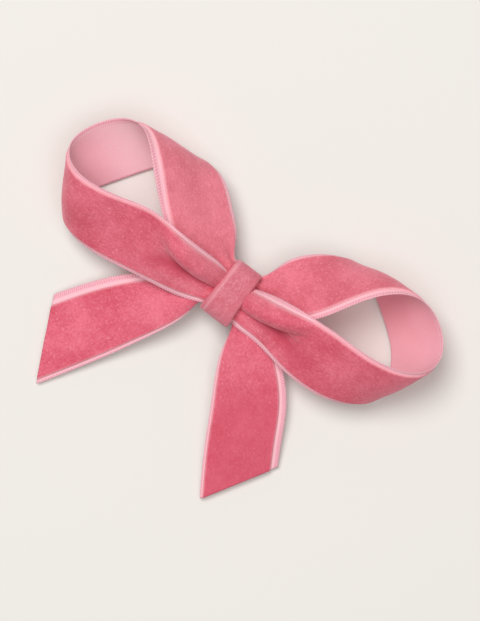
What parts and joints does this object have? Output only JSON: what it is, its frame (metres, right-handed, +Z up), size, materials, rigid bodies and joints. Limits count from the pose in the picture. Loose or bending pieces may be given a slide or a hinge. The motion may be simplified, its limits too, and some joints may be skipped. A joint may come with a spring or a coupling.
{
  "type": "barrette",
  "caption": "Velvet ribbon bow barrette: two open loops and two tails bound by a folded centre wrap, on a hinged French clip with a squeeze catch.",
  "frame": {"origin": "on the table under the middle of the knot, on the closed clasp arm's flat underside", "axes": "+X along the clip from its hinge to its catch, +Z up out of the front of the bow, +Y completes the frame (the tails hang towards -Y)"},
  "size_m": [0.1279, 0.0906, 0.0277],
  "materials": {
    "velvet_ribbon": "cut-pile velvet",
    "satin_ground": "satin-woven back",
    "selvedge": "looped satin edge",
    "sewing_thread": "twisted polyester",
    "liner_felt": "felt",
    "clip_steel": "nickel plated, brushed",
    "arm_steel": "nickel plated, lightly scratched",
    "spring_steel": "spring steel",
    "rivet_steel": "polished nickel"
  },
  "bodies": {
    "bow": {"top_plate": "clip_steel", "plate_liner": "liner_felt", "hinge_bracket": "clip_steel", "hinge_rivet": "rivet_steel", "hinge_pin": "rivet_steel", "catch_base": "clip_steel", "catch_rivet": "rivet_steel", "ribbon_waist": "velvet_ribbon", "binding_thread": "sewing_thread", "centre_wrap": "velvet_ribbon", "wrap_tuck": "satin_ground", "wrap_stitches": "sewing_thread", "left_loop": "velvet_ribbon", "right_loop": "velvet_ribbon", "left_tail": "velvet_ribbon", "right_tail": "velvet_ribbon"},
    "arm": {"clasp_arm": "arm_steel"},
    "leaf": {"leaf_spring": "spring_steel"},
    "tab_front": {"catch_tab_front": "spring_steel"},
    "tab_back": {"catch_tab_back": "spring_steel"}
  },
  "joints": [
    {"name": "clasp_hinge", "type": "hinge", "parent": "bow", "child": "arm", "pos_m": [-0.026, 0, 0.0014], "axis": [0, 1, 0], "range_deg": [0, 70]},
    {"name": "leaf_flex", "type": "hinge", "parent": "bow", "child": "leaf", "pos_m": [-0.0226, 0, 0.00605], "axis": [0, 1, 0], "range_deg": [0, 4.2]},
    {"name": "tab_front_press", "type": "hinge", "parent": "bow", "child": "tab_front", "pos_m": [0.0255, -0.0023, 0.0049], "axis": [1, 0, 0], "range_deg": [0, 10], "stiffness_Nm_per_rad": 0.002},
    {"name": "tab_back_press", "type": "hinge", "parent": "bow", "child": "tab_back", "pos_m": [0.0255, 0.0023, 0.0049], "axis": [-1, 0, 0], "range_deg": [0, 10], "stiffness_Nm_per_rad": 0.002}
  ],
  "couplings": [
    {"joint": "leaf_flex", "follows": "clasp_hinge", "ratio": 0.06}
  ]
}
